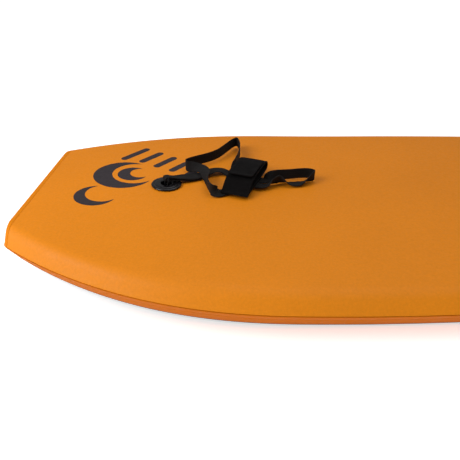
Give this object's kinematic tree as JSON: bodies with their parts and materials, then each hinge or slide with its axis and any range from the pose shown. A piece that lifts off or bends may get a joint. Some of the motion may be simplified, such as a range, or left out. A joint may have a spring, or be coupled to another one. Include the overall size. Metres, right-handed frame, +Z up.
{
  "type": "bodyboard",
  "caption": "Foam bodyboard with a crescent tail, a leash plug in its deck and a webbing wrist leash with a hook-and-loop cuff.",
  "frame": {"origin": "under the middle of the board's length and width, on the surface its flat bottom rests on", "axes": "+X along the board from the nose to the tail, +Y to the rider's left side of the deck seen from the tail, +Z up through the deck"},
  "size_m": [1.0667, 0.546, 0.0902],
  "materials": {
    "core_foam": "closed-cell foam, fine cells",
    "deck_foam": "satin closed-cell foam skin with fine pores",
    "rail_foam": "satin closed-cell foam strip",
    "slick_sheet": "smooth satin plastic sheet",
    "stringer_rod": "pultruded fibre rod",
    "plug_plastic": "moulded, glossy",
    "pin_steel": "turned stainless",
    "gasket_rubber": "soft, matt",
    "leash_cord": "braided nylon",
    "webbing": "woven nylon webbing",
    "cuff_fabric": "woven nylon with turned and stitched edges",
    "loop_pile": "soft looped pile",
    "hook_tape": "moulded hook tape"
  },
  "bodies": {
    "board": {"foam_core": "core_foam", "deck_skin": "deck_foam", "bottom_slick": "slick_sheet", "nose_strip": "rail_foam", "rail_left": "rail_foam", "rail_right": "rail_foam", "lower_rail_left": "rail_foam", "lower_rail_right": "rail_foam", "tail_strip_left": "rail_foam", "tail_strip_right": "rail_foam", "stringer": "stringer_rod", "plug_deck_half": "plug_plastic", "plug_base_half": "plug_plastic", "plug_cross_pin": "pin_steel", "plug_deck_gasket": "gasket_rubber", "plug_base_gasket": "gasket_rubber"},
    "string": {"leash_string": "leash_cord"},
    "leash": {"rail_saver": "webbing", "leash_webbing": "webbing", "cuff_band": "cuff_fabric", "loop_patch": "loop_pile"},
    "flap": {"cuff_flap": "cuff_fabric", "hook_patch": "hook_tape"}
  },
  "joints": [
    {"name": "leash_swing", "type": "hinge", "parent": "board", "child": "string", "pos_m": [-0.3335, 0.009, 0.06562], "axis": [0.0544, 0, 0.9985], "range_deg": [-25, 25]},
    {"name": "leash_lift", "type": "hinge", "parent": "string", "child": "leash", "pos_m": [-0.33285, 0.009, 0.0776], "axis": [0.5113, -0.859, -0.0279], "range_deg": [0, 85]},
    {"name": "cuff_peel", "type": "hinge", "parent": "leash", "child": "flap", "pos_m": [-0.19184, 0.05777, 0.08868], "axis": [-0.9393, 0.3419, 0.0306], "range_deg": [0, 100]}
  ]
}
